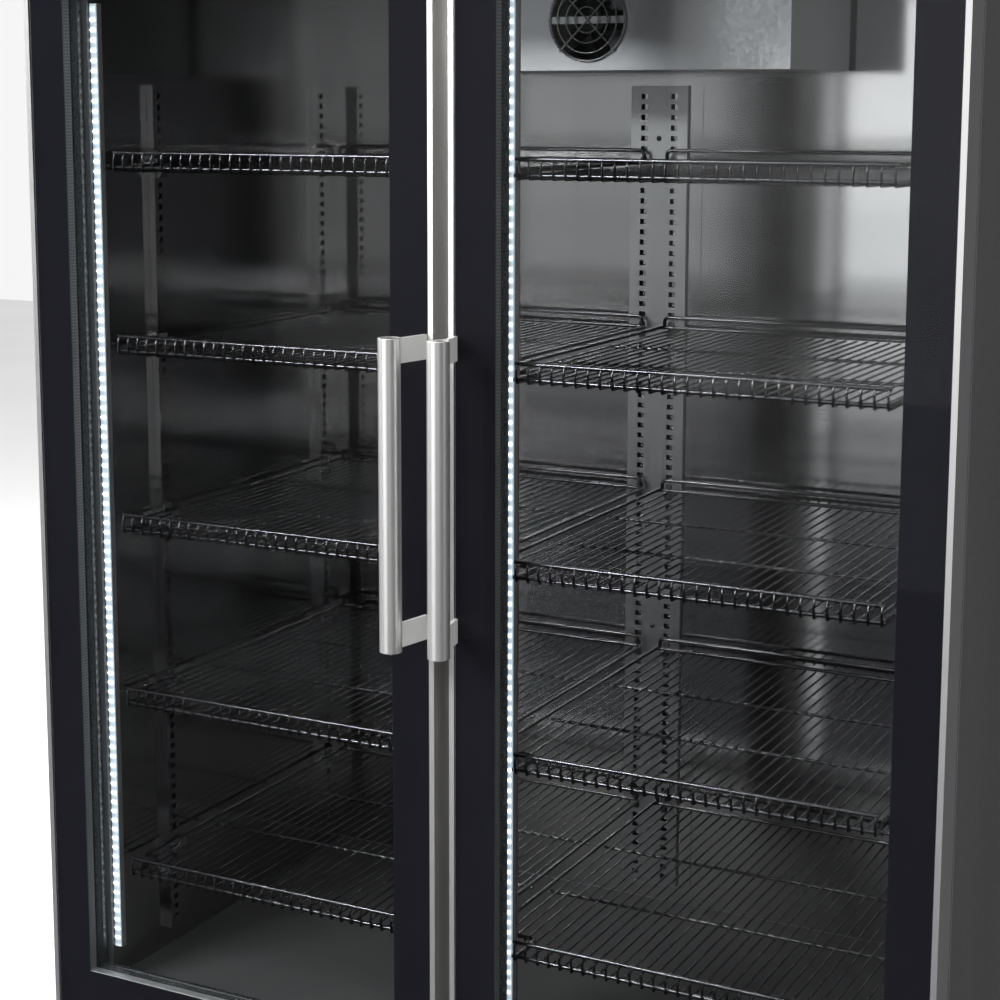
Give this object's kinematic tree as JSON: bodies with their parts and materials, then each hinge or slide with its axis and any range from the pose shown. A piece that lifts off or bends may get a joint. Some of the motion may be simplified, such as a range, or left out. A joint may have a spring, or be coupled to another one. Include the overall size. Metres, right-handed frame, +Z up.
{
  "type": "glass door merchandiser",
  "caption": "Upright refrigerated display cabinet with hinged black-bordered glass doors, angled tubular handles and wire shelves lit by vertical light strips.",
  "frame": {"origin": "on the floor, under the middle of the bounding box", "axes": "+Z up, +X to the cabinet's right as it is faced, +Y to its back; the doors face -Y"},
  "size_m": [1.3, 0.8414, 2],
  "materials": {
    "body_dark": "satin dark grey coated steel",
    "header_black": "smooth black coated steel",
    "galvanised": "plain galvanised sheet",
    "stainless_liner": "brushed stainless sheet",
    "stainless_frame": "vertically brushed stainless",
    "pilaster_steel": "satin stainless, slotted",
    "foam": null,
    "shelf_wire": "steel wire with a glossy black plastic coating",
    "light_strip": "translucent cover over cool white diodes in an aluminium channel",
    "door_frame_aluminium": "satin anodised aluminium",
    "door_glass": "clear toughened glass with a printed black border",
    "gasket_rubber": "dark soft magnetic gasket",
    "handle_satin": "satin stainless tube and flat bar",
    "black_plastic": "fine textured black plastic",
    "compressor_enamel": "black enamel",
    "coil_aluminium": "plain aluminium sheet and fins"
  },
  "bodies": {
    "cabinet": {"outer_side_left": "body_dark", "outer_side_right": "body_dark", "top_cover": "body_dark", "header_panel": "header_black", "outer_back": "galvanised", "unit_deck": "galvanised", "base_pan": "galvanised", "condenser_fan_shroud": "galvanised", "inner_liner": "stainless_liner", "front_frame": "stainless_frame", "centre_mullion": "stainless_frame", "hinge_left_top": "stainless_frame", "hinge_left_bottom": "stainless_frame", "hinge_right_top": "stainless_frame", "hinge_right_bottom": "stainless_frame", "pilaster_centre": "pilaster_steel", "pilaster_left_front": "pilaster_steel", "pilaster_left_rear": "pilaster_steel", "pilaster_right_front": "pilaster_steel", "pilaster_right_rear": "pilaster_steel", "foam_insulation": "foam", "shelf_left_1": "shelf_wire", "shelf_left_2": "shelf_wire", "shelf_left_3": "shelf_wire", "shelf_left_4": "shelf_wire", "shelf_left_5": "shelf_wire", "shelf_right_1": "shelf_wire", "shelf_right_2": "shelf_wire", "shelf_right_3": "shelf_wire", "shelf_right_4": "shelf_wire", "shelf_right_5": "shelf_wire", "light_left_bay": "light_strip", "light_right_bay": "light_strip", "controller": "black_plastic", "power_inlet": "black_plastic", "compressor": "compressor_enamel", "condenser_coil": "coil_aluminium", "evaporator_coil": "coil_aluminium", "evaporator_housing": "coil_aluminium"},
    "door_left": {"door_frame_left": "door_frame_aluminium", "door_outer_glass_left": "door_glass", "door_inner_glass_left": "door_glass", "door_gasket_left": "gasket_rubber", "handle_bar_left": "handle_satin", "handle_bracket_left_upper": "handle_satin", "handle_bracket_left_lower": "handle_satin"},
    "door_right": {"door_frame_right": "door_frame_aluminium", "door_outer_glass_right": "door_glass", "door_inner_glass_right": "door_glass", "door_gasket_right": "gasket_rubber", "handle_bar_right": "handle_satin", "handle_bracket_right_upper": "handle_satin", "handle_bracket_right_lower": "handle_satin"},
    "condenser_fan": {"condenser_fan": "black_plastic"},
    "evaporator_fan": {"evaporator_fan": "black_plastic"},
    "light_switch": {"light_switch": "black_plastic"},
    "foot_front_left": {"foot_front_left": "black_plastic"},
    "foot_front_right": {"foot_front_right": "black_plastic"},
    "foot_rear_left": {"foot_rear_left": "black_plastic"},
    "foot_rear_right": {"foot_rear_right": "black_plastic"}
  },
  "joints": [
    {"name": "door_left_hinge", "type": "hinge", "parent": "cabinet", "child": "door_left", "pos_m": [-0.636, -0.3173, 0.94], "axis": [0, 0, -1], "range_deg": [0, 120]},
    {"name": "door_right_hinge", "type": "hinge", "parent": "cabinet", "child": "door_right", "pos_m": [0.636, -0.3173, 0.94], "axis": [0, 0, 1], "range_deg": [0, 120]},
    {"name": "condenser_fan_spin", "type": "hinge", "parent": "cabinet", "child": "condenser_fan", "pos_m": [-0.18, -0.1323, 1.864], "axis": [0, 1, 0], "continuous": true},
    {"name": "evaporator_fan_spin", "type": "hinge", "parent": "cabinet", "child": "evaporator_fan", "pos_m": [0, 0.1177, 1.59], "axis": [0, 1, 0], "continuous": true},
    {"name": "light_switch_rock", "type": "hinge", "parent": "cabinet", "child": "light_switch", "pos_m": [0.32, -0.3358, 1.87], "axis": [1, 0, 0], "range_deg": [-6, 6]},
    {"name": "foot_front_left_screw", "type": "slide", "parent": "cabinet", "child": "foot_front_left", "axis": [0, 0, 1], "range_m": [-0.012, 0.008]},
    {"name": "foot_front_right_screw", "type": "slide", "parent": "cabinet", "child": "foot_front_right", "axis": [0, 0, 1], "range_m": [-0.012, 0.008]},
    {"name": "foot_rear_left_screw", "type": "slide", "parent": "cabinet", "child": "foot_rear_left", "axis": [0, 0, 1], "range_m": [-0.012, 0.008]},
    {"name": "foot_rear_right_screw", "type": "slide", "parent": "cabinet", "child": "foot_rear_right", "axis": [0, 0, 1], "range_m": [-0.012, 0.008]}
  ]
}
